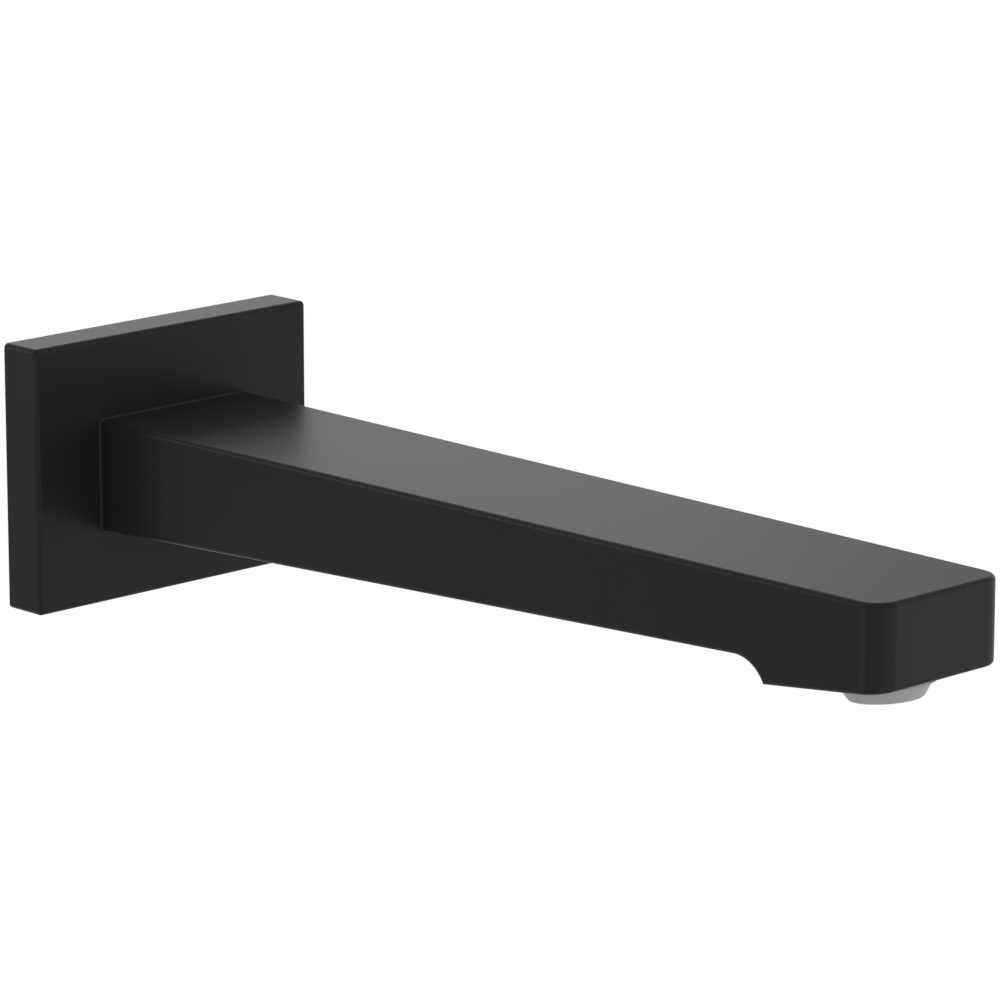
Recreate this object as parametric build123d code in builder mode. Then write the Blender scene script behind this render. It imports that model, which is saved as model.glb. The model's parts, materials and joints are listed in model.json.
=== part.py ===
from build123d import *
from math import ceil, cos, radians, sin, sqrt, tan
import os

# A wall-mounted bath spout with a square-lined arm. The cast arm slides onto the spigot of a
# threaded wall nipple and is locked from below by a grub screw. A shoulder at the arm's root
# holds the hollow wall flange against the wall, and an aerator is screwed into the nose.
# The origin is on the inlet axis, at the finished wall. The arm points along -Y and +Z is up.
# A distance is measured out from the wall, and a height from the inlet axis. All in millimetres.

# Wall flange
FLANGE_WIDTH = 72.0
FLANGE_HEIGHT = 54.5
FLANGE_DEPTH = 9.7
FLANGE_FACE_WALL = 2.5
FLANGE_RIM_WALL = 2.4
FLANGE_EDGE_RADIUS = 1.0
FLANGE_HOLLOW_CORNER = 2.5
WINDOW_CLEARANCE = 0.15

# Flange gasket
GASKET_WIDTH = 3.0
GASKET_THICKNESS = 2.0
GASKET_CLEARANCE = 0.1
GASKET_CORNER = 1.0

# Outside of the arm: widths and drop at the flange's front, and slopes in degrees
PROJECTION = 218.1
ARM_ROOT_WIDTH = 39.6
ARM_NOSE_WIDTH = 33.95
ARM_TOP_HEIGHT = 10.55
ARM_ROOT_DROP = 12.3
UNDERSIDE_RISE = 2.5
NOSE_FRONT_HEIGHT = 16.45
NOSE_LENGTH = 27.7
NOSE_RISE = 6.5
UNDERCUT_RADIUS = 8.0
NOSE_CORNER_RADIUS = 5.0
TOP_EDGE_RADIUS = 1.0
LOWER_EDGE_RADIUS = 1.0

# A face looks down when the upright part of its normal is below this
LOOKS_DOWN = -0.5

# Root of the arm: a filleted foot on the flange's face, and a tenon through the flange's window
FOOT_THICKNESS = 0.2
FOOT_FILLET = 0.5
FOOT_LIP = 0.1
TENON_INSET = 1.2
TENON_LENGTH = 4.2
TENON_CORNER = 1.0

# Inside of the arm
TOP_WALL = 3.0
SIDE_WALL = 3.6
BOTTOM_WALL = 3.2
FRONT_WALL = 3.2
CORE_CORNER = 2.0
SOCKET_CLEARANCE = 0.1
SOCKET_CHAMFER = 1.0

# Wall nipple: a half-inch pipe thread behind the wall, a hexagon, and the spigot
THREAD_RADIUS = 10.478
THREAD_LENGTH = 14.0
THREAD_CHAMFER = 1.0
THREAD_RELIEF_DEPTH = 1.4
HEXAGON_SIDES = 6
HEXAGON_FLATS = 27.0
HEXAGON_CHAMFER = 0.8
HEXAGON_CLEARANCE = 0.45
SPIGOT_RADIUS = 7.0
SPIGOT_WALL = 1.0
SPIGOT_CHAMFER = 0.6
SPIGOT_END_CLEARANCE = 0.5
NIPPLE_WASHER_WIDTH = 2.5
NIPPLE_WASHER_THICKNESS = 1.5
NIPPLE_WASHER_CLEARANCE = 0.1

# O-rings in the spigot's grooves
RING_GROOVE_DEPTH = 1.5
RING_GROOVE_WIDTH = 2.4
RING_LAND = 1.8
RING_CLEARANCE = 0.02

# Grub screw under the arm's root
GRUB_RADIUS = 2.5
GRUB_OFFSET = 4.7
GRUB_CLEARANCE = 0.05
GRUB_RECESS = 0.8
GRUB_CHAMFER = 0.7
GRUB_SOCKET_FLATS = 2.5
GRUB_SOCKET_DEPTH = 2.4
GRUB_GROOVE_DEPTH = 0.9
GRUB_GROOVE_PLAY = 0.3

# Outlet pocket in the nose
OUTLET_SETBACK = 13.65
POCKET_RADIUS = 9.4
OUTLET_LEDGE = 1.4
OUTLET_LEDGE_WIDTH = 2.4

# Aerator housing: a threaded ring in the pocket, a shoulder with two flats and a tapered nozzle
HOUSING_CLEARANCE = 0.05
HOUSING_LENGTH = 5.0
HOUSING_WALL = 1.8
CHAMBER_DEPTH = 2.5
SHOULDER_RADIUS = 9.2
SHOULDER_HEIGHT = 1.5
SHOULDER_FLATS = 17.4
NOZZLE_TOP_RADIUS = 8.6
NOZZLE_RIM_RADIUS = 6.85
NOZZLE_LENGTH = 4.3
NOZZLE_RIM_ROUND = 0.8
NOZZLE_BORE_RADIUS = 5.4
NOZZLE_LIP = 0.5

# Aerator inside: washer, dome screen, diffuser plate and honeycomb grid
AERATOR_WASHER_THICKNESS = 1.5
AERATOR_WASHER_INSET = 0.25
SCREEN_WALL = 0.8
SCREEN_DOME_HEIGHT = 3.0
SCREEN_TOP_RADIUS = 3.45
SCREEN_HOLE_RADIUS = 0.6
SCREEN_OUTER_CIRCLE = 4.9
SCREEN_OUTER_HOLES = 12
SCREEN_INNER_CIRCLE = 2.2
SCREEN_INNER_HOLES = 6
SCREEN_CLEARANCE = 0.1
DIFFUSER_THICKNESS = 1.2
DIFFUSER_HOLE_RADIUS = 0.55
DIFFUSER_OUTER_HOLES = 16
DIFFUSER_INNER_CIRCLE = 2.95
DIFFUSER_INNER_HOLES = 8
GRID_THICKNESS = 1.4
GRID_PITCH = 1.35
GRID_BAR = 0.28
GRID_RIM = 0.5
GRID_CLEARANCE = 0.05


def underside_height(distance):
    """Height of the arm's underside at a distance from the wall."""
    return (distance - FLANGE_DEPTH) * tan(radians(UNDERSIDE_RISE)) - ARM_ROOT_DROP


def nose_height(distance):
    """Height of the nose's underside at a distance from the wall."""
    behind_front = PROJECTION - distance
    return ARM_TOP_HEIGHT - NOSE_FRONT_HEIGHT - behind_front * tan(radians(NOSE_RISE))


def arm_half_width(distance):
    """Half of the arm's width at a distance from the wall."""
    share = (distance - FLANGE_DEPTH) / (PROJECTION - FLANGE_DEPTH)
    return (ARM_ROOT_WIDTH + share * (ARM_NOSE_WIDTH - ARM_ROOT_WIDTH)) / 2


def honeycomb(pitch, limit):
    """Centres of a honeycomb's cells whose distance from the middle is within a limit."""
    rings = ceil(2 * limit / pitch)
    reach = range(-rings, rings + 1)
    centres = [(pitch * (column + row / 2), pitch * row * sqrt(3) / 2) for row in reach for column in reach]
    return [centre for centre in centres if Vector(*centre).length <= limit]


# Distances along the inlet axis, from the wall outwards
flange_inner = FLANGE_DEPTH - FLANGE_FACE_WALL
tenon_back = FLANGE_DEPTH - TENON_LENGTH
hexagon_back = NIPPLE_WASHER_THICKNESS
hexagon_front = tenon_back - HEXAGON_CLEARANCE
grub_distance = FLANGE_DEPTH + GRUB_OFFSET
grub_groove_width = 2 * (GRUB_RADIUS + GRUB_GROOVE_PLAY)
inner_ring_distance = grub_distance + grub_groove_width / 2 + RING_LAND + RING_GROOVE_WIDTH / 2
outer_ring_distance = inner_ring_distance + RING_GROOVE_WIDTH + RING_LAND
spigot_end = outer_ring_distance + RING_GROOVE_WIDTH / 2 + RING_LAND
core_start = spigot_end + SPIGOT_END_CLEARANCE

# Radii about the inlet axis
socket_radius = SPIGOT_RADIUS + SOCKET_CLEARANCE
ring_groove_radius = SPIGOT_RADIUS - RING_GROOVE_DEPTH
bore_radius = ring_groove_radius - SPIGOT_WALL
grub_groove_radius = SPIGOT_RADIUS - GRUB_GROOVE_DEPTH
thread_relief_radius = THREAD_RADIUS - THREAD_RELIEF_DEPTH

# Side view: x is the distance from the wall and y is the height
side_view = Plane(origin=(0, 0, 0), x_dir=(0, -1, 0), z_dir=(-1, 0, 0))
inlet_axis = Axis((0, 0, 0), (0, -1, 0))

# Outlet: the origin is on the nose's underside, z points out of the nose along the jet
outlet_distance = PROJECTION - OUTLET_SETBACK
jet = Vector(0, -sin(radians(NOSE_RISE)), -cos(radians(NOSE_RISE)))
outlet = Plane(origin=(0, -outlet_distance, nose_height(outlet_distance)), x_dir=(1, 0, 0), z_dir=jet)
outlet_axis = Axis(outlet.origin, jet)
outlet_section = Plane(origin=outlet.origin, x_dir=outlet.x_dir, z_dir=outlet.x_dir.cross(jet))

# Depths in the outlet pocket, below zero inside the nose
housing_top = -HOUSING_LENGTH
pocket_top = housing_top - AERATOR_WASHER_THICKNESS
outlet_floor = (OUTLET_LEDGE - pocket_top) / cos(radians(NOSE_RISE))
throat_radius = POCKET_RADIUS - OUTLET_LEDGE_WIDTH
housing_radius = POCKET_RADIUS - HOUSING_CLEARANCE
chamber_radius = housing_radius - HOUSING_WALL

# Sections of the arm's root, all about one middle
root_height = ARM_TOP_HEIGHT + ARM_ROOT_DROP
root_middle = (ARM_TOP_HEIGHT - ARM_ROOT_DROP) / 2
foot_flare = FOOT_FILLET + FOOT_LIP
tenon_width = ARM_ROOT_WIDTH - 2 * TENON_INSET
tenon_height = root_height - 2 * TENON_INSET

# Wall flange: a plate with a hollow back, a rebate for the gasket and a window for the tenon
rebate_width = FLANGE_WIDTH - 2 * FLANGE_RIM_WALL
rebate_height = FLANGE_HEIGHT - 2 * FLANGE_RIM_WALL
hollow_width = rebate_width - 2 * GASKET_WIDTH
hollow_height = rebate_height - 2 * GASKET_WIDTH
with BuildPart() as wall_flange:
    with BuildSketch(Plane.XZ):
        Rectangle(FLANGE_WIDTH, FLANGE_HEIGHT)
    extrude(amount=FLANGE_DEPTH)
    corner_edges = wall_flange.edges().filter_by(Axis.Y)
    front_edges = wall_flange.faces().sort_by(Axis.Y)[0].edges()
    fillet(corner_edges + front_edges, FLANGE_EDGE_RADIUS)
    with BuildSketch(Plane.XZ):
        RectangleRounded(rebate_width, rebate_height, GASKET_CORNER)
    extrude(amount=GASKET_THICKNESS, mode=Mode.SUBTRACT)
    with BuildSketch(Plane.XZ.offset(GASKET_THICKNESS)):
        RectangleRounded(hollow_width, hollow_height, FLANGE_HOLLOW_CORNER)
    extrude(amount=flange_inner - GASKET_THICKNESS, mode=Mode.SUBTRACT)
    with BuildSketch(Plane.XZ.offset(flange_inner)):
        with Locations((0, root_middle)):
            window_width = tenon_width + 2 * WINDOW_CLEARANCE
            window_height = tenon_height + 2 * WINDOW_CLEARANCE
            RectangleRounded(window_width, window_height, TENON_CORNER + WINDOW_CLEARANCE)
    extrude(amount=FLANGE_FACE_WALL, mode=Mode.SUBTRACT)

# Flange gasket: a rubber frame that fills the rebate
with BuildPart() as flange_gasket:
    with BuildSketch(Plane.XZ):
        gasket_width = rebate_width - 2 * GASKET_CLEARANCE
        gasket_height = rebate_height - 2 * GASKET_CLEARANCE
        RectangleRounded(gasket_width, gasket_height, GASKET_CORNER)
        RectangleRounded(hollow_width, hollow_height, FLANGE_HOLLOW_CORNER, mode=Mode.SUBTRACT)
    extrude(amount=GASKET_THICKNESS)

# Waterway: the core that the arm is cast around
core_front = PROJECTION - FRONT_WALL
core_top = ARM_TOP_HEIGHT - TOP_WALL
with BuildPart() as waterway_core:
    with BuildSketch(side_view):
        with BuildLine():
            Polyline(
                (core_start, underside_height(core_start) + BOTTOM_WALL),
                (core_front, underside_height(core_front) + BOTTOM_WALL),
                (core_front, core_top),
                (core_start, core_top),
                close=True,
            )
        make_face()
        with BuildLine():
            Polyline(
                (core_start, nose_height(core_start) + outlet_floor),
                (core_front, nose_height(core_front) + outlet_floor),
                (core_front, nose_height(core_start)),
                (core_start, nose_height(core_start)),
                close=True,
            )
        make_face(mode=Mode.SUBTRACT)
    extrude(amount=ARM_ROOT_WIDTH, both=True)
    with BuildSketch(Plane.XY):
        start_half_width = arm_half_width(core_start) - SIDE_WALL
        front_half_width = arm_half_width(core_front) - SIDE_WALL
        with BuildLine():
            Polyline(
                (-start_half_width, -core_start),
                (start_half_width, -core_start),
                (front_half_width, -core_front),
                (-front_half_width, -core_front),
                close=True,
            )
        make_face()
    extrude(amount=PROJECTION, both=True, mode=Mode.INTERSECT)
    fillet(waterway_core.edges().filter_by(Axis.Z), CORE_CORNER)

# Undercut: an arc that leaves the arm's underside smoothly and ends at the heel of the nose
underside_turn = radians(UNDERSIDE_RISE)
heel_distance = PROJECTION - NOSE_LENGTH
heel = Vector(heel_distance, nose_height(heel_distance))
heel_depth = (underside_height(heel_distance) - heel.Y) * cos(underside_turn)
along_underside = Vector(cos(underside_turn), sin(underside_turn))
across_underside = Vector(-sin(underside_turn), cos(underside_turn))
undercut_run = sqrt(2 * UNDERCUT_RADIUS * heel_depth - heel_depth**2)
undercut_start = heel + across_underside * heel_depth - along_underside * undercut_run

# Spout body: the side view and the plan cross to form the arm, its foot and tenon are added at
# the root, and then the hollows are taken out
with BuildPart() as spout_body:
    with BuildSketch(side_view):
        with BuildLine():
            Polyline(
                heel,
                (PROJECTION, nose_height(PROJECTION)),
                (PROJECTION, ARM_TOP_HEIGHT),
                (FLANGE_DEPTH, ARM_TOP_HEIGHT),
                (FLANGE_DEPTH, -ARM_ROOT_DROP),
                undercut_start,
            )
            TangentArc(undercut_start, heel, tangent=along_underside)
        make_face()
    extrude(amount=ARM_ROOT_WIDTH, both=True)
    with BuildSketch(Plane.XY) as plan:
        root_half_width = ARM_ROOT_WIDTH / 2
        nose_half_width = ARM_NOSE_WIDTH / 2
        with BuildLine():
            Polyline(
                (-root_half_width, -FLANGE_DEPTH),
                (root_half_width, -FLANGE_DEPTH),
                (nose_half_width, -PROJECTION),
                (-nose_half_width, -PROJECTION),
                close=True,
            )
        make_face()
        fillet(plan.vertices().group_by(Axis.Y)[0], NOSE_CORNER_RADIUS)
    extrude(amount=PROJECTION, both=True, mode=Mode.INTERSECT)
    root_face = spout_body.faces().sort_by(Axis.Y)[-1]
    top_face = spout_body.faces().sort_by(Axis.Z)[-1]
    root_edges = root_face.edges()
    fillet([edge for edge in top_face.edges() if edge not in root_edges], TOP_EDGE_RADIUS)
    lower_faces = spout_body.faces().filter_by(lambda face: face.normal_at().Z < LOOKS_DOWN)
    root_edges = spout_body.faces().sort_by(Axis.Y)[-1].edges()
    lower_edges = ShapeList(edge for face in lower_faces for edge in face.edges() if edge not in root_edges)
    fillet(lower_edges.filter_by(Axis.X, reverse=True), LOWER_EDGE_RADIUS)
    with BuildSketch(Plane.XZ.offset(FLANGE_DEPTH)):
        with Locations((0, root_middle)):
            foot_width = ARM_ROOT_WIDTH + 2 * foot_flare
            foot_height = root_height + 2 * foot_flare
            RectangleRounded(foot_width, foot_height, TOP_EDGE_RADIUS + foot_flare)
    extrude(amount=FOOT_THICKNESS)
    foot_front = spout_body.faces().filter_by(Axis.Y).sort_by(Axis.Y)[-2]
    fillet(foot_front.inner_wires()[0].edges(), FOOT_FILLET)
    with BuildSketch(Plane.XZ.offset(tenon_back)):
        with Locations((0, root_middle)):
            RectangleRounded(tenon_width, tenon_height, TENON_CORNER)
    extrude(amount=TENON_LENGTH)
    add(waterway_core.part, mode=Mode.SUBTRACT)
    with BuildSketch(Plane.XZ.offset(tenon_back)):
        Circle(socket_radius)
    extrude(amount=core_start - tenon_back, mode=Mode.SUBTRACT)
    socket_mouth = spout_body.faces().sort_by(Axis.Y)[-1].inner_wires()[0].edges()
    chamfer(socket_mouth, SOCKET_CHAMFER)
    with BuildSketch(Plane.XY):
        with Locations((0, -grub_distance)):
            Circle(GRUB_RADIUS)
    extrude(amount=-ARM_ROOT_DROP, mode=Mode.SUBTRACT)
    with BuildSketch(outlet):
        Circle(POCKET_RADIUS)
    extrude(amount=pocket_top, mode=Mode.SUBTRACT)
    with BuildSketch(outlet):
        Circle(throat_radius)
    extrude(amount=-outlet_floor, mode=Mode.SUBTRACT)

# Hexagon of the nipple, with its corners turned off
hexagon_corner = HEXAGON_FLATS / sqrt(3)
with BuildPart() as hexagon:
    with BuildSketch(Plane.XZ.offset(hexagon_back)):
        RegularPolygon(HEXAGON_FLATS / 2, HEXAGON_SIDES, major_radius=False)
    extrude(amount=hexagon_front - hexagon_back)
    with BuildSketch(side_view):
        with BuildLine():
            Polyline(
                (hexagon_back, bore_radius),
                (hexagon_back, HEXAGON_FLATS / 2),
                (hexagon_back + HEXAGON_CHAMFER, hexagon_corner),
                (hexagon_front - HEXAGON_CHAMFER, hexagon_corner),
                (hexagon_front, HEXAGON_FLATS / 2),
                (hexagon_front, bore_radius),
                close=True,
            )
        make_face()
    revolve(axis=inlet_axis, mode=Mode.INTERSECT)

# Wall nipple: the turned thread and spigot, in one piece with the hexagon
with BuildPart() as wall_nipple:
    with BuildSketch(side_view):
        with BuildLine():
            Polyline(
                (-THREAD_LENGTH, bore_radius),
                (-THREAD_LENGTH, THREAD_RADIUS - THREAD_CHAMFER),
                (-THREAD_LENGTH + THREAD_CHAMFER, THREAD_RADIUS),
                (0, THREAD_RADIUS),
                (0, thread_relief_radius),
                (hexagon_back, thread_relief_radius),
                (hexagon_back, SPIGOT_RADIUS),
                (spigot_end - SPIGOT_CHAMFER, SPIGOT_RADIUS),
                (spigot_end, SPIGOT_RADIUS - SPIGOT_CHAMFER),
                (spigot_end, bore_radius),
                close=True,
            )
        make_face()
        grooves = (
            (grub_distance, grub_groove_width, grub_groove_radius),
            (inner_ring_distance, RING_GROOVE_WIDTH, ring_groove_radius),
            (outer_ring_distance, RING_GROOVE_WIDTH, ring_groove_radius),
        )
        for groove_distance, groove_width, groove_radius in grooves:
            with Locations((groove_distance, groove_radius)):
                Rectangle(groove_width, SPIGOT_RADIUS, align=(Align.CENTER, Align.MIN), mode=Mode.SUBTRACT)
    revolve(axis=inlet_axis)
    add(hexagon.part)

# Nipple washer: a fibre ring between the hexagon and the fitting in the wall
with BuildPart() as nipple_washer:
    with BuildSketch(Plane.XZ):
        Circle(THREAD_RADIUS + NIPPLE_WASHER_WIDTH)
        Circle(THREAD_RADIUS + NIPPLE_WASHER_CLEARANCE, mode=Mode.SUBTRACT)
    extrude(amount=NIPPLE_WASHER_THICKNESS)

# O-rings: squeezed between the floor of their grooves and the socket
ring_section = (socket_radius - ring_groove_radius) / 2 - RING_CLEARANCE
ring_radius = (socket_radius + ring_groove_radius) / 2
ring_distances = {"inner_o_ring": inner_ring_distance, "outer_o_ring": outer_ring_distance}
o_rings = {}
for ring_name, ring_distance in ring_distances.items():
    with BuildPart() as o_ring:
        with BuildSketch(side_view):
            with Locations((ring_distance, ring_radius)):
                Circle(ring_section)
        revolve(axis=inlet_axis)
    o_rings[ring_name] = o_ring

# Grub screw: its tip stands in the spigot's groove and its socket faces down
grub_tip = -grub_groove_radius - GRUB_CLEARANCE
grub_end = underside_height(grub_distance) + GRUB_RECESS
grub_body_radius = GRUB_RADIUS - GRUB_CLEARANCE
with BuildPart() as grub_screw:
    with BuildSketch(Plane.XY.offset(grub_end)):
        with Locations((0, -grub_distance)):
            Circle(grub_body_radius)
    extrude(amount=grub_tip - grub_end)
    chamfer(grub_screw.edges().sort_by(Axis.Z)[-1], GRUB_CHAMFER)
    with BuildSketch(Plane.XY.offset(grub_end)):
        with Locations((0, -grub_distance)):
            RegularPolygon(GRUB_SOCKET_FLATS / 2, HEXAGON_SIDES, major_radius=False)
    extrude(amount=GRUB_SOCKET_DEPTH, mode=Mode.SUBTRACT)

# Levels inside the aerator, from the top of the chamber down to the mouth of the nozzle
diffuser_bottom = housing_top + CHAMBER_DEPTH
diffuser_top = diffuser_bottom - DIFFUSER_THICKNESS
grid_bottom = NOZZLE_LENGTH - NOZZLE_LIP
grid_top = grid_bottom - GRID_THICKNESS
grid_seat_radius = NOZZLE_BORE_RADIUS + GRID_RIM

# Aerator housing: the ring that screws into the pocket, the shoulder and the nozzle that shows
with BuildPart() as aerator_housing:
    with BuildSketch(outlet_section):
        with BuildLine():
            Polyline(
                (NOZZLE_TOP_RADIUS, SHOULDER_HEIGHT),
                (SHOULDER_RADIUS, SHOULDER_HEIGHT),
                (SHOULDER_RADIUS, 0),
                (housing_radius, 0),
                (housing_radius, housing_top),
                (chamber_radius, housing_top),
                (chamber_radius, diffuser_bottom),
                (grid_seat_radius, diffuser_bottom),
                (grid_seat_radius, grid_bottom),
                (NOZZLE_BORE_RADIUS, grid_bottom),
                (NOZZLE_BORE_RADIUS, NOZZLE_LENGTH),
                (NOZZLE_RIM_RADIUS, NOZZLE_LENGTH),
                close=True,
            )
        make_face()
    revolve(axis=outlet_axis)
    nozzle_mouth = aerator_housing.faces().filter_by(outlet).sort_by(outlet_axis)[-1]
    fillet(nozzle_mouth.outer_wire().edges(), NOZZLE_RIM_ROUND)
    with BuildSketch(outlet):
        Circle(SHOULDER_RADIUS)
        Rectangle(SHOULDER_FLATS, 2 * SHOULDER_RADIUS, mode=Mode.SUBTRACT)
    extrude(amount=SHOULDER_HEIGHT, mode=Mode.SUBTRACT)

# Aerator washer: a rubber ring between the housing and the top of the pocket
with BuildPart() as aerator_washer:
    with BuildSketch(outlet.offset(pocket_top)):
        Circle(housing_radius - AERATOR_WASHER_INSET)
        Circle(throat_radius, mode=Mode.SUBTRACT)
    extrude(amount=AERATOR_WASHER_THICKNESS)

# Aerator diffuser: a plate with two rings of jets
with BuildPart() as aerator_diffuser:
    with BuildSketch(outlet.offset(diffuser_top)):
        Circle(chamber_radius - SCREEN_CLEARANCE)
        with PolarLocations(grid_seat_radius - 2 * DIFFUSER_HOLE_RADIUS, DIFFUSER_OUTER_HOLES):
            Circle(DIFFUSER_HOLE_RADIUS, mode=Mode.SUBTRACT)
        with PolarLocations(DIFFUSER_INNER_CIRCLE, DIFFUSER_INNER_HOLES):
            Circle(DIFFUSER_HOLE_RADIUS, mode=Mode.SUBTRACT)
    extrude(amount=DIFFUSER_THICKNESS)

# Aerator screen: a dome with a rim that stands on the diffuser, pierced all over
screen_rim_radius = chamber_radius - SCREEN_CLEARANCE
dome_radius = throat_radius - SCREEN_CLEARANCE
dome_top = housing_top - SCREEN_DOME_HEIGHT
with BuildPart() as aerator_screen:
    with BuildSketch(outlet_section):
        with BuildLine():
            Polyline(
                (0, dome_top + SCREEN_WALL),
                (0, dome_top),
                (SCREEN_TOP_RADIUS, dome_top),
                (dome_radius, housing_top),
                (screen_rim_radius, housing_top),
                (screen_rim_radius, diffuser_top),
                (screen_rim_radius - SCREEN_WALL, diffuser_top),
                (screen_rim_radius - SCREEN_WALL, housing_top + SCREEN_WALL),
                (dome_radius - SCREEN_WALL, housing_top + SCREEN_WALL),
                (SCREEN_TOP_RADIUS - SCREEN_WALL / 2, dome_top + SCREEN_WALL),
                close=True,
            )
        make_face()
    revolve(axis=outlet_axis)
    with BuildSketch(outlet.offset(dome_top)):
        with PolarLocations(SCREEN_OUTER_CIRCLE, SCREEN_OUTER_HOLES):
            Circle(SCREEN_HOLE_RADIUS)
        with PolarLocations(SCREEN_INNER_CIRCLE, SCREEN_INNER_HOLES):
            Circle(SCREEN_HOLE_RADIUS)
    extrude(amount=SCREEN_DOME_HEIGHT + SCREEN_WALL, mode=Mode.SUBTRACT)

# Aerator grid: a honeycomb in a ring, standing on the lip of the nozzle
grid_radius = grid_seat_radius - GRID_CLEARANCE
grid_open_radius = NOZZLE_BORE_RADIUS - GRID_CLEARANCE
with BuildPart() as aerator_grid:
    with BuildSketch(outlet.offset(grid_top)):
        Circle(grid_radius)
    extrude(amount=GRID_THICKNESS)
    with BuildSketch(outlet.offset(grid_top)):
        with Locations(*honeycomb(GRID_PITCH, grid_open_radius - GRID_PITCH / 2)):
            cell_radius = (GRID_PITCH - GRID_BAR) / 2
            cell_turn = 180 / HEXAGON_SIDES
            RegularPolygon(cell_radius, HEXAGON_SIDES, major_radius=False, rotation=cell_turn)
        Circle(grid_open_radius, mode=Mode.INTERSECT)
    extrude(amount=GRID_THICKNESS, mode=Mode.SUBTRACT)

pieces = {
    "spout_body": spout_body,
    "wall_flange": wall_flange,
    "flange_gasket": flange_gasket,
    "wall_nipple": wall_nipple,
    "nipple_washer": nipple_washer,
    **o_rings,
    "grub_screw": grub_screw,
    "aerator_housing": aerator_housing,
    "aerator_washer": aerator_washer,
    "aerator_screen": aerator_screen,
    "aerator_diffuser": aerator_diffuser,
    "aerator_grid": aerator_grid,
}
os.makedirs("parts", exist_ok=True)
for piece_name, piece in pieces.items():
    piece.part.label = piece_name
    export_step(piece.part, f"parts/{piece_name}.step")
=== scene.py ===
"""Looks of a wall-mounted bath spout: finishes, cut threads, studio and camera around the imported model."""

import json
import logging
import math
from dataclasses import dataclass
from enum import Enum

import bmesh
import bpy
from mathutils import Matrix, Vector

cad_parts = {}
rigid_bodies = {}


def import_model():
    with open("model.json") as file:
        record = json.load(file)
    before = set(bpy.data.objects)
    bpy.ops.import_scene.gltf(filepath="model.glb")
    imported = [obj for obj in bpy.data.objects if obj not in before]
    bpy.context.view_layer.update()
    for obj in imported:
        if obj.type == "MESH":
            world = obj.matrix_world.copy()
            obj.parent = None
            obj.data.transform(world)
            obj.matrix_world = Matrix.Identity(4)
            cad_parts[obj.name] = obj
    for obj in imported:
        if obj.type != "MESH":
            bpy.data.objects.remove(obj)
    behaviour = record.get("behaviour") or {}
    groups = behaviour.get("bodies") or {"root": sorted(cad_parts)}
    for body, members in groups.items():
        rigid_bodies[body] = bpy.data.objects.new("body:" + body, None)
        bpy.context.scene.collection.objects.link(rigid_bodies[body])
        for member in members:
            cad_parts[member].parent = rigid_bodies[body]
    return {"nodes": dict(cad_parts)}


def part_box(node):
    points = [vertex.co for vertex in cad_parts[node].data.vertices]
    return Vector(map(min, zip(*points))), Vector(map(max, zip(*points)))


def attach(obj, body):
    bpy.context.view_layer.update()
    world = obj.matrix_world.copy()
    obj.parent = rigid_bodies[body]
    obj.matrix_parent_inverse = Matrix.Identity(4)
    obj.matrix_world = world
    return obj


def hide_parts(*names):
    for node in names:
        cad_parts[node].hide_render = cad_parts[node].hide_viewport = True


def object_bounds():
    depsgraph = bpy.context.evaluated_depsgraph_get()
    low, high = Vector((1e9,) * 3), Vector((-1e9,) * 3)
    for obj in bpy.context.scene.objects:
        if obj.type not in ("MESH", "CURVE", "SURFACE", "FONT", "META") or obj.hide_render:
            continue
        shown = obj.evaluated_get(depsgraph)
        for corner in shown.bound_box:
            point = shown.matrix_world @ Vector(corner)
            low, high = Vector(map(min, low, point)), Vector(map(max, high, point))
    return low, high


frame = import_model()
CAD_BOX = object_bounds()

LOG = logging.getLogger("bath_spout")
MM = 0.001
INCH = 25.4 * MM
BODY = "root"
AROUND = 192
MERGE_DISTANCE = 0.0001 * MM
SHARP_ANGLE = math.radians(32)
RIGHT_ANGLE = math.pi / 2
WHITE = (1.0, 1.0, 1.0, 1.0)

Triple = tuple[float, float, float]
Colour = Triple
Span = tuple[float, float]
Socket = bpy.types.NodeSocket


class Slot(Enum):
    """Material slots of the record."""

    BLACK_COAT = "black_coat"
    BRASS = "brass"
    RUBBER = "rubber"
    FIBRE = "fibre"
    STEEL = "steel"
    GREY_PLASTIC = "grey_plastic"
    WHITE_PLASTIC = "white_plastic"


class Section(Enum):
    """Outline of a turned piece at one ring."""

    ROUND = "round"
    HEXAGON = "hexagon"
    TWO_FLATS = "two_flats"


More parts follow.
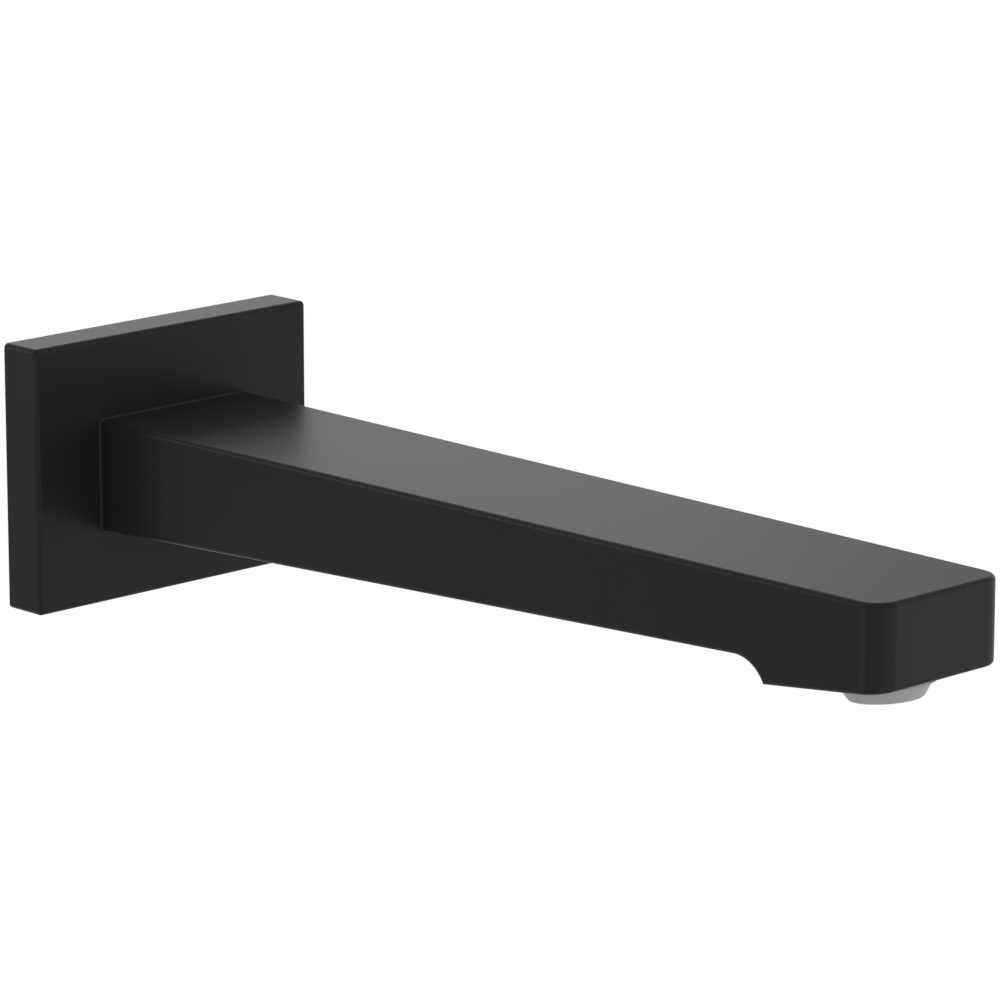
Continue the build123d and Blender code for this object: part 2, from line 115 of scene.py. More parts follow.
class Shader:
    """A node material with one principled shader, and short calls to add nodes to it."""

    # Range that most values of a noise lie in
    MIDDLE = (0.3, 0.7)

    def __init__(self, name: str) -> None:
        """Makes the empty material.

        Args:
            name: Name of the material.
        """
        self.material = bpy.data.materials.new(name)
        self.material.use_nodes = True
        self.nodes = self.material.node_tree.nodes
        self.links = self.material.node_tree.links
        self.surface = self.nodes["Principled BSDF"]
        self.place = self.nodes.new("ShaderNodeTexCoord").outputs["Object"]

    def set(self, **values: float | tuple[float, ...]) -> None:
        """Sets constant values on the shader's own sockets, with spaces as underscores."""
        for name, value in values.items():
            self.surface.inputs[name.replace("_", " ")].default_value = value

    def mapped(self, scale: Triple = (1.0, 1.0, 1.0), shift: Triple = (0.0, 0.0, 0.0)) -> Socket:
        """Object coordinates with a scale and a shift of their own on each axis.

        Args:
            scale: Factors along X, Y and Z.
            shift: Shift along X, Y and Z in metres.

        Returns:
            The vector output of the mapping.
        """
        mapping = self.nodes.new("ShaderNodeMapping")
        mapping.inputs["Scale"].default_value = scale
        mapping.inputs["Location"].default_value = shift
        self.links.new(self.place, mapping.inputs["Vector"])
        return mapping.outputs["Vector"]

    def noise(self, size: float, detail: float = 3.0, place: Socket | None = None) -> Socket:
        """Noise whose patches have about a given size.

        Args:
            size: Size of a patch in metres.
            detail: Number of finer octaves.
            place: Coordinates to use instead of the plain object coordinates.

        Returns:
            The factor output of the noise.
        """
        texture = self.nodes.new("ShaderNodeTexNoise")
        texture.inputs["Scale"].default_value = 1.0 / size
        texture.inputs["Detail"].default_value = detail
        self.links.new(place or self.place, texture.inputs["Vector"])
        return texture.outputs["Fac"]

    def blend(self, factor: Socket, dark: Colour, light: Colour) -> Socket:
        """Colour that runs from one tone to another as a factor goes from low to high.

        Args:
            factor: Value that chooses the tone.
            dark: Red, green and blue at the low end.
            light: Red, green and blue at the high end.

        Returns:
            The colour output of the ramp.
        """
        ramp = self.nodes.new("ShaderNodeValToRGB")
        for stop, position, colour in zip(ramp.color_ramp.elements, self.MIDDLE, (dark, light)):
            stop.position = position
            stop.color = (*colour, 1.0)
        self.links.new(factor, ramp.inputs["Fac"])
        return ramp.outputs["Color"]

    def span(self, factor: Socket, low: float, high: float, start: Span = MIDDLE) -> Socket:
        """Value that runs from low to high as a factor goes through a range.

        Args:
            factor: Value that is mapped.
            low: Result at the low end.
            high: Result at the high end.
            start: The factor's values at the low and the high end.

        Returns:
            The result of the mapping.
        """
        mapped = self.nodes.new("ShaderNodeMapRange")
        for name, value in zip(("From Min", "From Max", "To Min", "To Max"), (*start, low, high)):
            mapped.inputs[name].default_value = value
        self.links.new(factor, mapped.inputs["Value"])
        return mapped.outputs["Result"]

    def bump(self, height: Socket, strength: float, depth: float) -> None:
        """Raises the surface by a height, on top of the bumps added before.

        Args:
            height: Height pattern.
            strength: How far the pattern bends the light.
            depth: Depth of the pattern in metres.
        """
        bump = self.nodes.new("ShaderNodeBump")
        bump.inputs["Strength"].default_value = strength
        bump.inputs["Distance"].default_value = depth
        self.links.new(height, bump.inputs["Height"])
        target = self.surface.inputs["Normal"]
        if target.is_linked:
            self.links.new(target.links[0].from_socket, bump.inputs["Normal"])
        self.links.new(bump.outputs["Normal"], target)

    def join(self, value: Socket, socket: str) -> None:
        """Feeds a pattern to one socket of the shader."""
        self.links.new(value, self.surface.inputs[socket])


@dataclass(frozen=True)
class CoatFinish:
    """Fine matte coat over a casting: an even tone with a faint grain."""

    name: str = "matte_black_coat"
    dark: Colour = (0.0117, 0.0132, 0.0119)
    light: Colour = (0.0135, 0.0153, 0.0137)
    roughness: Span = (0.33, 0.39)
    specular: float = 0.07
    cloud: float = 24 * MM
    grain: float = 0.22 * MM
    grain_detail: float = 2.0
    grain_depth: float = 0.01 * MM
    grain_strength: float = 0.12

    def material(self) -> bpy.types.Material:
        """Builds the coat's material.

        Returns:
            The material.
        """
        shader = Shader(self.name)
        cloud = shader.noise(self.cloud)
        grain = shader.noise(self.grain, self.grain_detail)
        shader.join(shader.blend(cloud, self.dark, self.light), "Base Color")
        shader.join(shader.span(grain, *self.roughness), "Roughness")
        shader.bump(grain, self.grain_strength, self.grain_depth)
        shader.set(Specular_IOR_Level=self.specular)
        return shader.material


@dataclass(frozen=True)
class TurnedFinish:
    """Bare metal with the fine lines that a lathe leaves around one axis."""

    name: str
    dark: Colour
    light: Colour
    roughness: Span
    along: Triple
    line: float = 0.12 * MM
    line_detail: float = 2.0
    line_depth: float = 0.004 * MM
    line_strength: float = 0.15
    tarnish: float = 5 * MM

    def material(self) -> bpy.types.Material:
        """Builds the metal's material.

        Returns:
            The material.
        """
        shader = Shader(self.name)
        lines = shader.noise(self.line, self.line_detail, shader.mapped(scale=self.along))
        tarnish = shader.noise(self.tarnish)
        shader.join(shader.blend(tarnish, self.dark, self.light), "Base Color")
        shader.join(shader.span(lines, *self.roughness), "Roughness")
        shader.bump(lines, self.line_strength, self.line_depth)
        shader.set(Metallic=1.0)
        return shader.material


@dataclass(frozen=True)
class MouldedFinish:
    """Moulded rubber, plastic or pressed fibre with a fine surface grain."""

    name: str
    dark: Colour
    light: Colour
    roughness: Span
    specular: float = 0.5
    cloud: float = 6 * MM
    grain: float = 0.3 * MM
    grain_depth: float = 0.01 * MM
    grain_strength: float = 0.2

    def material(self) -> bpy.types.Material:
        """Builds the moulded material.

        Returns:
            The material.
        """
        shader = Shader(self.name)
        cloud = shader.noise(self.cloud)
        grain = shader.noise(self.grain)
        shader.join(shader.blend(cloud, self.dark, self.light), "Base Color")
        shader.join(shader.span(grain, *self.roughness), "Roughness")
        shader.bump(grain, self.grain_strength, self.grain_depth)
        shader.set(Specular_IOR_Level=self.specular)
        return shader.material


# Scales that draw a pattern out into lines around one axis
DRAWN_OUT = 0.02
ALONG_Y = (DRAWN_OUT, 1.0, DRAWN_OUT)
ALONG_Z = (DRAWN_OUT, DRAWN_OUT, 1.0)
FINISHES = {
    Slot.BLACK_COAT: CoatFinish(),
    Slot.BRASS: TurnedFinish("turned_brass", (0.62, 0.42, 0.16), (0.80, 0.59, 0.27), (0.22, 0.34), ALONG_Y),
    Slot.STEEL: TurnedFinish("turned_steel", (0.46, 0.46, 0.47), (0.60, 0.60, 0.61), (0.24, 0.36), ALONG_Z),
    Slot.RUBBER: MouldedFinish("black_rubber", (0.014, 0.014, 0.014), (0.022, 0.022, 0.022), (0.55, 0.7)),
    Slot.FIBRE: MouldedFinish("red_fibre", (0.26, 0.055, 0.04), (0.36, 0.085, 0.06), (0.6, 0.75)),
    Slot.GREY_PLASTIC: MouldedFinish(
        "grey_plastic", (0.279, 0.284, 0.282), (0.301, 0.307, 0.304), (0.45, 0.55), specular=0.25
    ),
    Slot.WHITE_PLASTIC: MouldedFinish("white_plastic", (0.58, 0.59, 0.59), (0.66, 0.67, 0.67), (0.4, 0.5)),
}


class Palette:
    """One material for each slot, made when it is first asked for."""

    def __init__(self) -> None:
        """Starts with no material made."""
        self.made: dict[Slot, bpy.types.Material] = {}

    def material(self, slot: Slot) -> bpy.types.Material:
        """Gives the material of a slot.

        Args:
            slot: The record's slot.

        Returns:
            The slot's material.
        """
        if slot not in self.made:
            self.made[slot] = FINISHES[slot].material()
        return self.made[slot]

    def dress(self, node: str, slot: Slot) -> None:
        """Gives a carried-over solid the material of its slot.

        Args:
            node: Name of the solid's node.
            slot: The record's slot.
        """
        solid = frame["nodes"][node]
        solid.data.materials.clear()
        solid.data.materials.append(self.material(slot))
        LOG.info("dressed %s in %s", node, slot.value)


@dataclass(frozen=True)
class Ring:
    """One ring of a turned piece: its height on the axis, its radius and its outline."""

    height: float
    radius: float
    section: Section = Section.ROUND
    flats: float = 0.0

    def reach(self, angle: float) -> float:
        """Distance from the axis to the outline at an angle.

        Args:
            angle: Angle around the axis in radians, from a corner of a hexagon or the middle of a flat.

        Returns:
            The distance in metres.
        """
        if self.section is Section.HEXAGON:
            sixth = math.pi / 3
            turn = angle % sixth - sixth / 2
            return min(self.radius, self.flats / 2 / math.cos(turn))
        if self.section is Section.TWO_FLATS:
            across = abs(math.cos(angle))
            return min(self.radius, self.flats / 2 / max(across, self.flats / 2 / self.radius))
        return self.radius


@dataclass(frozen=True)
class Thread:
    """A helical thread between two heights of a turned piece."""

    start: float
    end: float
    crest: float
    pitch: float
    depth: float
    runout: float

    def rings(self, per_turn: int = 16) -> list[Ring]:
        """Plain rings, close enough together to carry the thread.

        Args:
            per_turn: Number of rings for each turn of the thread.

        Returns:
            The rings from start to end.
        """
        count = math.ceil(abs(self.end - self.start) / self.pitch * per_turn)
        step = (self.end - self.start) / count
        return [Ring(self.start + step * i, self.crest) for i in range(count + 1)]


class ThreadCutter:
    """Geometry Nodes tree that sinks a helical groove into the wall of a turned piece."""

    INPUTS = ("Start", "End", "Crest", "Pitch", "Depth", "Runout")
    FLANK = (0.1, 0.9)
    WALL_TOLERANCE = 0.01 * MM

    def __init__(self) -> None:
        """Builds the tree, with one named input for each size of the thread."""
        self.tree = bpy.data.node_groups.new("helical_thread", "GeometryNodeTree")
        face = self.tree.interface
        face.new_socket("Geometry", in_out="INPUT", socket_type="NodeSocketGeometry")
        face.new_socket("Geometry", in_out="OUTPUT", socket_type="NodeSocketGeometry")
        self.ids = {
            name: face.new_socket(name, in_out="INPUT", socket_type="NodeSocketFloat").identifier
            for name in self.INPUTS
        }
        self.material_id = face.new_socket(
            "Material", in_out="INPUT", socket_type="NodeSocketMaterial"
        ).identifier
        self._wire()

    def _math(self, operation: str, *values: Socket | float) -> Socket:
        """Adds one sum to the tree.

        Args:
            operation: Name of the operation.
            *values: Sockets or numbers that it works on.

        Returns:
            The result.
        """
        node = self.tree.nodes.new("ShaderNodeMath")
        node.operation = operation
        for socket, value in zip(node.inputs, values):
            if isinstance(value, Socket):
                self.tree.links.new(value, socket)
            else:
                socket.default_value = value
        return node.outputs[0]

    def _wire(self) -> None:
        """Lays out the nodes from the sizes to the finished mesh."""
        nodes, links = self.tree.nodes, self.tree.links
        given = nodes.new("NodeGroupInput").outputs
        place = nodes.new("GeometryNodeInputPosition")
        parts = nodes.new("ShaderNodeSeparateXYZ")
        links.new(place.outputs[0], parts.inputs[0])
        x, y, z = parts.outputs
        squares = [self._math("POWER", side, 2.0) for side in (x, y)]
        radius = self._math("SQRT", self._math("ADD", *squares))

        # Phase along the helix, then a groove that is zero at the crest and one at its deepest
        turn = self._math("DIVIDE", self._math("ARCTAN2", y, x), 2 * math.pi)
        phase = self._math("FRACT", self._math("SUBTRACT", self._math("DIVIDE", z, given["Pitch"]), turn))
        away = self._math("ABSOLUTE", self._math("SUBTRACT", self._math("MULTIPLY", phase, 2.0), 1.0))
        groove = nodes.new("ShaderNodeMapRange")
        groove.interpolation_type = "SMOOTHSTEP"
        for name, share in zip(("From Min", "From Max"), self.FLANK):
            groove.inputs[name].default_value = share
        links.new(away, groove.inputs["Value"])

        # The groove fades out towards both ends and touches only the crest's wall
        fade = None
        for end, sign in (("Start", 1.0), ("End", -1.0)):
            inside = self._math("MULTIPLY", self._math("SUBTRACT", z, given[end]), sign)
            share = self._math("DIVIDE", inside, given["Runout"])
            share = self._math("MINIMUM", self._math("MAXIMUM", share, 0.0), 1.0)
            fade = share if fade is None else self._math("MULTIPLY", fade, share)
        on_wall = self._math("COMPARE", radius, given["Crest"], self.WALL_TOLERANCE)
        sink = self._math("MULTIPLY", self._math("MULTIPLY", groove.outputs["Result"], fade), on_wall)
        shrink = self._math("DIVIDE", self._math("MULTIPLY", sink, given["Depth"]), given["Crest"])
        keep = self._math("SUBTRACT", 1.0, shrink)

        cut = nodes.new("ShaderNodeCombineXYZ")
        links.new(self._math("MULTIPLY", x, keep), cut.inputs["X"])
        links.new(self._math("MULTIPLY", y, keep), cut.inputs["Y"])
        links.new(z, cut.inputs["Z"])
        moved = nodes.new("GeometryNodeSetPosition")
        links.new(given["Geometry"], moved.inputs["Geometry"])
        links.new(cut.outputs[0], moved.inputs["Position"])
        realized = nodes.new("GeometryNodeRealizeInstances")
        links.new(moved.outputs[0], realized.inputs[0])
        painted = nodes.new("GeometryNodeSetMaterial")
        links.new(realized.outputs[0], painted.inputs["Geometry"])
        links.new(given["Material"], painted.inputs["Material"])
        links.new(painted.outputs[0], nodes.new("NodeGroupOutput").inputs["Geometry"])

    def cut(self, piece: bpy.types.Object, thread: Thread, material: bpy.types.Material) -> None:
        """Cuts a thread into a piece that stands on the Z axis, and leaves it a plain mesh.

        Args:
            piece: The turned piece.
            thread: Sizes of the thread.
            material: Material of the result.
        """
        modifier = piece.modifiers.new("thread", "NODES")
        modifier.node_group = self.tree
        sizes = (thread.start, thread.end, thread.crest, thread.pitch, thread.depth, thread.runout)
        for name, value in zip(self.INPUTS, sizes):
            modifier[self.ids[name]] = value
        modifier[self.material_id] = material
        bpy.context.view_layer.update()
        evaluated = piece.evaluated_get(bpy.context.evaluated_depsgraph_get())
        mesh = bpy.data.meshes.new_from_object(evaluated)
        piece.modifiers.remove(modifier)
        piece.data = mesh


@dataclass(frozen=True)
class TurnedPiece:
    """A threaded piece that is turned from rings and stands for a solid."""

    name: str
    node: str
    slot: Slot
    thread: Thread
    rings: tuple[Ring, ...]
    hollow: bool = True

    def turn(self) -> bpy.types.Object:
        """Makes the mesh from the rings, the last of which joins the first where the piece is hollow.

        Returns:
            The new object, standing on the Z axis.
        """
        mesh = bpy.data.meshes.new(self.name)
        grid = bmesh.new()
        angles = [2 * math.pi * i / AROUND for i in range(AROUND)]
        rows = []
        for ring in self.rings:
            reaches = [ring.reach(angle) for angle in angles]
            places = [(r * math.cos(a), r * math.sin(a), ring.height) for r, a in zip(reaches, angles)]
            rows.append([grid.verts.new(place) for place in places])
        ends = rows[1:] + rows[:1] if self.hollow else rows[1:]
        for row, after in zip(rows, ends):
            for here in range(AROUND):
                beside = (here + 1) % AROUND
                grid.faces.new((row[here], row[beside], after[beside], after[here]))
        bmesh.ops.remove_doubles(grid, verts=grid.verts, dist=MERGE_DISTANCE)
        bmesh.ops.recalc_face_normals(grid, faces=grid.faces)
        grid.to_mesh(mesh)
        grid.free()
        piece = bpy.data.objects.new(self.name, mesh)
        bpy.context.scene.collection.objects.link(piece)
        return piece

    def build(self, palette: Palette, cutter: ThreadCutter, place: Matrix) -> None:
        """Turns the piece, cuts its thread and puts it in the place of its solid.

        Args:
            palette: The materials.
            cutter: The tree that cuts threads.
            place: Transform from the Z axis to the piece's place.
        """
        piece = self.turn()
        cutter.cut(piece, self.thread, palette.material(self.slot))
        piece.data.transform(place)
        piece.data.shade_smooth()
        piece.data.set_sharp_from_angle(angle=SHARP_ANGLE)
        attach(piece, BODY)
        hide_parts(self.node)
        LOG.info("made %s for %s, %d faces", self.name, self.node, len(piece.data.polygons))


@dataclass(frozen=True)
class CastArm:
    """The coated arm, whose solid already has the real form."""

    node: str = "spout_body"

    def build(self, palette: Palette) -> None:
        """Dresses the casting in its coat."""
        palette.dress(self.node, Slot.BLACK_COAT)


@dataclass(frozen=True)
class WallFlange:
    """The coated cover plate and the rubber frame in its back."""

    plate: str = "wall_flange"
    gasket: str = "flange_gasket"

    def build(self, palette: Palette) -> None:
        """Dresses the plate and its gasket."""
        palette.dress(self.plate, Slot.BLACK_COAT)
        palette.dress(self.gasket, Slot.RUBBER)


@dataclass(frozen=True)
class InletNipple:
    """The turned connector with its pipe thread, hexagon and grooved spigot, and its seals."""

    node: str = "wall_nipple"
    crest: float = 10.478 * MM
    threads_per_inch: int = 14
    thread_depth: float = 1.162 * MM
    thread_length: float = 14.0 * MM
    end_chamfer: float = 1.0 * MM
    relief: float = 9.078 * MM
    hexagon_back: float = 1.5 * MM
    hexagon_front: float = 5.05 * MM
    hexagon_flats: float = 27.0 * MM
    hexagon_chamfer: float = 0.8 * MM
    chamfer_steps: int = 6
    spigot: float = 7.0 * MM
    spigot_end: float = 27.4 * MM
    spigot_chamfer: float = 0.6 * MM
    bore: float = 4.5 * MM
    grub_distance: float = 14.4 * MM
    grub_groove_width: float = 5.6 * MM
    grub_groove: float = 6.1 * MM
    ring_distances: Span = (20.2 * MM, 24.4 * MM)
    ring_groove_width: float = 2.4 * MM
    ring_groove: float = 5.5 * MM

    def hexagon(self) -> list[Ring]:
        """Rings of the spanner hexagon, whose corners are chamfered on both faces.

        Returns:
            The rings from the back face to the front face.
        """
        inner = self.hexagon_flats / 2
        corner = self.hexagon_flats / math.sqrt(3)
        shares = [i / self.chamfer_steps for i in range(self.chamfer_steps + 1)]
        back = [(self.hexagon_back + self.hexagon_chamfer * share, share) for share in shares]
        front = [(self.hexagon_front - self.hexagon_chamfer * share, share) for share in reversed(shares)]
        return [
            Ring(height, inner + (corner - inner) * share, Section.HEXAGON, self.hexagon_flats)
            for height, share in back + front
        ]

    def rings(self, thread: Thread) -> tuple[Ring, ...]:
        """Rings of the connector, from the thread's end to the spigot's and back through the bore.

        Args:
            thread: The pipe thread.

        Returns:
            The loop of rings.
        """
        loop = [
            Ring(-self.thread_length, self.bore),
            Ring(-self.thread_length, self.crest - self.end_chamfer),
            *thread.rings(),
            Ring(0.0, self.relief),
            Ring(self.hexagon_back, self.relief),
            *self.hexagon(),
            Ring(self.hexagon_front, self.spigot),
        ]
        grooves = [(self.grub_distance, self.grub_groove_width, self.grub_groove)]
        grooves += [(distance, self.ring_groove_width, self.ring_groove) for distance in self.ring_distances]
        for distance, width, floor in grooves:
            near, far = distance - width / 2, distance + width / 2
            loop += [Ring(near, self.spigot), Ring(near, floor), Ring(far, floor), Ring(far, self.spigot)]
        loop += [
            Ring(self.spigot_end - self.spigot_chamfer, self.spigot),
            Ring(self.spigot_end, self.spigot - self.spigot_chamfer),
            Ring(self.spigot_end, self.bore),
        ]
        return tuple(loop)

    def build(self, palette: Palette, cutter: ThreadCutter) -> None:
        """Makes the connector and dresses its seals.

        Args:
            palette: The materials.
            cutter: The tree that cuts threads.
        """
        start = self.end_chamfer - self.thread_length
        pitch = INCH / self.threads_per_inch
        thread = Thread(start, 0.0, self.crest, pitch, self.thread_depth, pitch)
        connector = TurnedPiece("threaded_nipple", self.node, Slot.BRASS, thread, self.rings(thread))
        connector.build(palette, cutter, Matrix.Rotation(RIGHT_ANGLE, 4, "X"))
        palette.dress("nipple_washer", Slot.FIBRE)
        palette.dress("inner_o_ring", Slot.RUBBER)
        palette.dress("outer_o_ring", Slot.RUBBER)


@dataclass(frozen=True)
class LockingScrew:
    """The headless screw with a hexagon socket that locks the arm from below."""

    node: str = "grub_screw"
    crest: float = 2.45 * MM
    pitch: float = 0.8 * MM
    thread_depth: float = 0.45 * MM
    tip_chamfer: float = 0.7 * MM
    socket_flats: float = 2.5 * MM
    socket_depth: float = 2.4 * MM

    def build(self, palette: Palette, cutter: ThreadCutter) -> None:
        """Makes the screw in the place of its solid.

        Args:
            palette: The materials.
            cutter: The tree that cuts threads.
        """
        low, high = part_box(self.node)
        length = high.z - low.z
        corner = self.socket_flats / math.sqrt(3)
        thread = Thread(
            0.0, length - self.tip_chamfer, self.crest, self.pitch, self.thread_depth, self.pitch / 2
        )
        rings = (
            Ring(self.socket_depth, 0.0),
            Ring(self.socket_depth, corner, Section.HEXAGON, self.socket_flats),
            Ring(0.0, corner, Section.HEXAGON, self.socket_flats),
            *thread.rings(),
            Ring(length, self.crest - self.tip_chamfer),
            Ring(length, 0.0),
        )
        foot = Vector(((low.x + high.x) / 2, (low.y + high.y) / 2, low.z))
        screw = TurnedPiece("threaded_grub_screw", self.node, Slot.STEEL, thread, rings, hollow=False)
        screw.build(palette, cutter, Matrix.Translation(foot))


@dataclass(frozen=True)
class Aerator:
    """The grey outlet nozzle with its thread in the nose, and what it holds."""

    node: str = "aerator_housing"
    distance: float = 204.45 * MM
    tilt: float = math.radians(6.5)
    housing: float = 9.35 * MM
    housing_length: float = 5.0 * MM
    pitch: float = 1.0 * MM
    thread_depth: float = 0.5 * MM
    chamber: float = 7.55 * MM
    chamber_depth: float = 2.5 * MM
    shoulder: float = 9.2 * MM
    shoulder_height: float = 1.5 * MM
    shoulder_flats: float = 17.4 * MM
    nozzle_top: float = 8.6 * MM
    nozzle_rim: float = 6.85 * MM
    nozzle_length: float = 4.3 * MM
    rim_round: float = 0.8 * MM
    rim_steps: int = 10
    bore: float = 5.4 * MM
    seat: float = 5.9 * MM
    lip: float = 0.5 * MM

    @property
    def cone(self) -> float:
        """Angle between the nozzle's wall and its axis in radians."""
        return math.atan2(self.nozzle_top - self.nozzle_rim, self.nozzle_length - self.shoulder_height)

    @property
    def rim_middle(self) -> float:
        """Distance from the axis to the middle of the rim's round."""
        return self.nozzle_rim - self.rim_round * math.tan((RIGHT_ANGLE - self.cone) / 2)

    def rim(self) -> list[Ring]:
        """Rings of the rounded edge between the cone and the mouth.

        Returns:
            The rings from the cone to the mouth.
        """
        sweep = RIGHT_ANGLE - self.cone
        turns = [self.cone + sweep * i / self.rim_steps for i in range(self.rim_steps + 1)]
        base = self.nozzle_length - self.rim_round
        return [
            Ring(base + self.rim_round * math.sin(turn), self.rim_middle + self.rim_round * math.cos(turn))
            for turn in turns
        ]

    def rings(self, thread: Thread) -> tuple[Ring, ...]:
        """Rings of the housing, down its outside and back up through the chamber.

        Args:
            thread: The thread that holds it in the nose.

        Returns:
            The loop of rings.
        """
        seat_bottom = self.nozzle_length - self.lip
        chamber_bottom = -self.housing_length + self.chamber_depth
        return (
            Ring(-self.housing_length, self.chamber),
            *thread.rings(),
            Ring(0.0, self.shoulder, Section.TWO_FLATS, self.shoulder_flats),
            Ring(self.shoulder_height, self.shoulder, Section.TWO_FLATS, self.shoulder_flats),
            Ring(self.shoulder_height, self.nozzle_top),
            *self.rim(),
            Ring(self.nozzle_length, self.bore),
            Ring(seat_bottom, self.bore),
            Ring(seat_bottom, self.seat),
            Ring(chamber_bottom, self.seat),
            Ring(chamber_bottom, self.chamber),
        )

    def place(self) -> Matrix:
        """Transform from the Z axis to the jet's axis, with the origin on the nose's underside.

        Returns:
            The transform.
        """
        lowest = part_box(self.node)[0].z
        down = (self.nozzle_length - self.rim_round) * math.cos(self.tilt)
        down += self.rim_middle * math.sin(self.tilt) + self.rim_round
        origin = Vector((0.0, -self.distance, lowest + down))
        return Matrix.Translation(origin) @ Matrix.Rotation(math.pi - self.tilt, 4, "X")

    def build(self, palette: Palette, cutter: ThreadCutter) -> None:
        """Makes the housing and dresses what it holds.

        Args:
            palette: The materials.
            cutter: The tree that cuts threads.
        """
        thread = Thread(-self.housing_length, 0.0, self.housing, self.pitch, self.thread_depth, self.pitch)
        nozzle = TurnedPiece("outlet_nozzle", self.node, Slot.GREY_PLASTIC, thread, self.rings(thread))
        nozzle.build(palette, cutter, self.place())
        palette.dress("aerator_washer", Slot.RUBBER)
        palette.dress("aerator_screen", Slot.WHITE_PLASTIC)
        palette.dress("aerator_diffuser", Slot.WHITE_PLASTIC)
        palette.dress("aerator_grid", Slot.GREY_PLASTIC)


@dataclass(frozen=True)
class Lamp:
    """A soft square lamp that looks at the middle of the spout, in metres and watts."""

    name: str
    place: Triple
    size: float
    power: float

    def build(self, aim: Vector) -> None:
        """Hangs the lamp and turns it to its aim.

        Args:
            aim: Point that the lamp looks at.
        """
        light = bpy.data.lights.new(self.name, "AREA")
        light.size = self.size
        light.energy = self.power
        lamp = bpy.data.objects.new(self.name, light)
        lamp.location = self.place
        lamp.rotation_euler = (aim - Vector(self.place)).to_track_quat("-Z", "Y").to_euler()
        bpy.context.scene.collection.objects.link(lamp)


def largest(tree: bpy.types.NodeTree, first: Socket, *others: Socket) -> Socket:
    """Adds nodes that give the largest of several values.

    Args:
        tree: Tree that the nodes go in.
        first: The first value.
        *others: The other values.

    Returns:
        The largest value.
    """
    for other in others:
        either = tree.nodes.new("ShaderNodeMath")
        either.operation = "MAXIMUM"
        tree.links.new(first, either.inputs[0])
        tree.links.new(other, either.inputs[1])
        first = either.outputs[0]
    return first


def level_when_seen(tree: bpy.types.NodeTree, plain: float, seen: float) -> Socket:
    """Adds a value that differs between plain light and what the eye, gloss and glass see.

    Args:
        tree: Tree that the nodes go in.
        plain: The value for plain light.
        seen: The value for the eye, for reflections and through glass.

    Returns:
        The value.
    """
    rays = tree.nodes.new("ShaderNodeLightPath").outputs
    level = tree.nodes.new("ShaderNodeMapRange")
    level.inputs["To Min"].default_value = plain
    level.inputs["To Max"].default_value = seen
    eye = largest(tree, rays["Is Camera Ray"], rays["Is Glossy Ray"], rays["Is Transmission Ray"])
    tree.links.new(eye, level.inputs["Value"])
    return level.outputs["Result"]


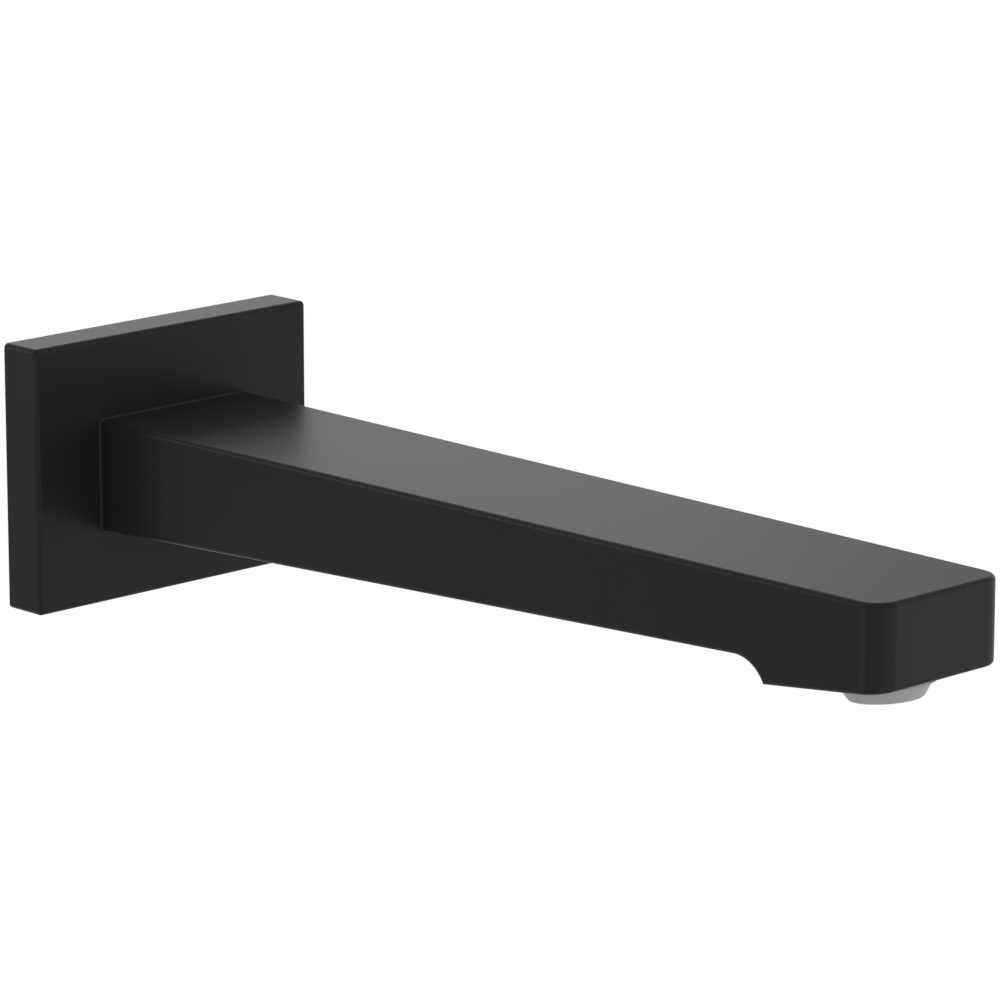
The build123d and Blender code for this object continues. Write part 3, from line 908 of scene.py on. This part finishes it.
@dataclass(frozen=True)
class Studio:
    """Pale floor, white surroundings, soft lamps and the camera, whose lens and sensor are in millimetres."""

    floor_drop: float = 0.25
    floor_radius: float = 0.5
    floor_segments: int = 96
    floor_fade: Span = (0.25, 0.45)
    floor_tones: Span = (0.85, 0.88)
    floor_cloud: float = 0.2
    floor_roughness: float = 0.9
    floor_specular: float = 0.1
    floor_glow: float = 0.25
    ambient: float = 0.61
    backdrop: float = 1.0
    eye: Triple = (-0.71137, -0.84411, 0.25393)
    heading: float = math.radians(43.9067)
    tilt: float = math.radians(13.5153)
    lens: float = 198.719
    sensor: float = 36.0
    lamps: tuple[Lamp, ...] = (
        Lamp("top_lamp", (0.0, -0.15, 1.1), 1.0, 2.25),
        Lamp("front_lamp", (1.0, -1.2, 0.05), 1.4, 6.2),
        Lamp("back_lamp", (1.15, 1.9, 0.5), 1.6, 4.65),
        Lamp("left_lamp", (-1.45, 0.2, -0.37), 0.35, 2.1),
        Lamp("edge_lamp", (-1.0, 0.95, 0.37), 0.45, 3.5),
        Lamp("fill_lamp", (-1.1, -1.0, -0.1), 0.8, 1.6),
        Lamp("nose_lamp", (-0.1, -1.6, -0.35), 1.0, 3.7),
    )

    def surroundings(self) -> None:
        """Makes a world that is white to the eye and to reflections, and dimmer as a light."""
        world = bpy.data.worlds.new("studio_white")
        world.use_nodes = True
        tree = world.node_tree
        sky = tree.nodes["Background"]
        sky.inputs["Color"].default_value = WHITE
        tree.links.new(level_when_seen(tree, self.ambient, self.backdrop), sky.inputs["Strength"])
        bpy.context.scene.world = world

    def floor_finish(self, middle: Vector) -> bpy.types.Material:
        """Makes the floor's finish, which keeps the shadow and fades out to white around the spout.

        Args:
            middle: Middle of the floor.

        Returns:
            The material.
        """
        shader = Shader("pale_floor")
        tree = shader.material.node_tree
        tones = [(tone, tone, tone) for tone in self.floor_tones]
        shader.join(shader.blend(shader.noise(self.floor_cloud), *tones), "Base Color")
        shader.join(level_when_seen(tree, 0.0, self.floor_glow), "Emission Strength")
        shader.set(Roughness=self.floor_roughness, Specular_IOR_Level=self.floor_specular)
        shader.set(Emission_Color=WHITE)
        away = tree.nodes.new("ShaderNodeVectorMath")
        away.operation = "LENGTH"
        tree.links.new(shader.mapped(shift=tuple(-middle)), away.inputs[0])
        faded = shader.span(away.outputs["Value"], 0.0, 1.0, self.floor_fade)
        below = tree.nodes.new("ShaderNodeNewGeometry").outputs["Backfacing"]
        mix = tree.nodes.new("ShaderNodeMixShader")
        tree.links.new(largest(tree, faded, below), mix.inputs[0])
        tree.links.new(shader.surface.outputs[0], mix.inputs[1])
        tree.links.new(tree.nodes.new("ShaderNodeBsdfTransparent").outputs[0], mix.inputs[2])
        tree.links.new(mix.outputs[0], tree.nodes["Material Output"].inputs["Surface"])
        return shader.material

    def floor(self, aim: Vector) -> None:
        """Lays a round pale floor well below the spout.

        Args:
            aim: Middle of the spout.
        """
        mesh = bpy.data.meshes.new("floor")
        disc = bmesh.new()
        bmesh.ops.create_circle(disc, cap_ends=True, radius=self.floor_radius, segments=self.floor_segments)
        disc.to_mesh(mesh)
        disc.free()
        middle = Vector((aim.x, aim.y, -self.floor_drop))
        mesh.transform(Matrix.Translation(middle))
        mesh.materials.append(self.floor_finish(middle))
        floor = bpy.data.objects.new("floor", mesh)
        bpy.context.scene.collection.objects.link(floor)

    def camera(self) -> None:
        """Sets the camera at the photograph's viewing angle."""
        data = bpy.data.cameras.new("camera")
        data.sensor_width = self.sensor
        data.lens = self.lens
        camera = bpy.data.objects.new("camera", data)
        camera.location = self.eye
        camera.rotation_euler = (RIGHT_ANGLE - self.tilt, 0.0, -self.heading)
        bpy.context.scene.collection.objects.link(camera)
        bpy.context.scene.camera = camera

    def build(self) -> None:
        """Builds the whole studio around the spout."""
        bpy.context.scene.view_settings.view_transform = "Standard"
        aim = (CAD_BOX[0] + CAD_BOX[1]) / 2
        self.surroundings()
        self.floor(aim)
        for lamp in self.lamps:
            lamp.build(aim)
        self.camera()


def main() -> None:
    """Builds the spout's pieces in order, then the studio."""
    logging.basicConfig(level=logging.INFO, format="%(name)s: %(message)s")
    palette = Palette()
    cutter = ThreadCutter()
    CastArm().build(palette)
    WallFlange().build(palette)
    InletNipple().build(palette, cutter)
    LockingScrew().build(palette, cutter)
    Aerator().build(palette, cutter)
    Studio().build()


if __name__ == "__main__":
    main()
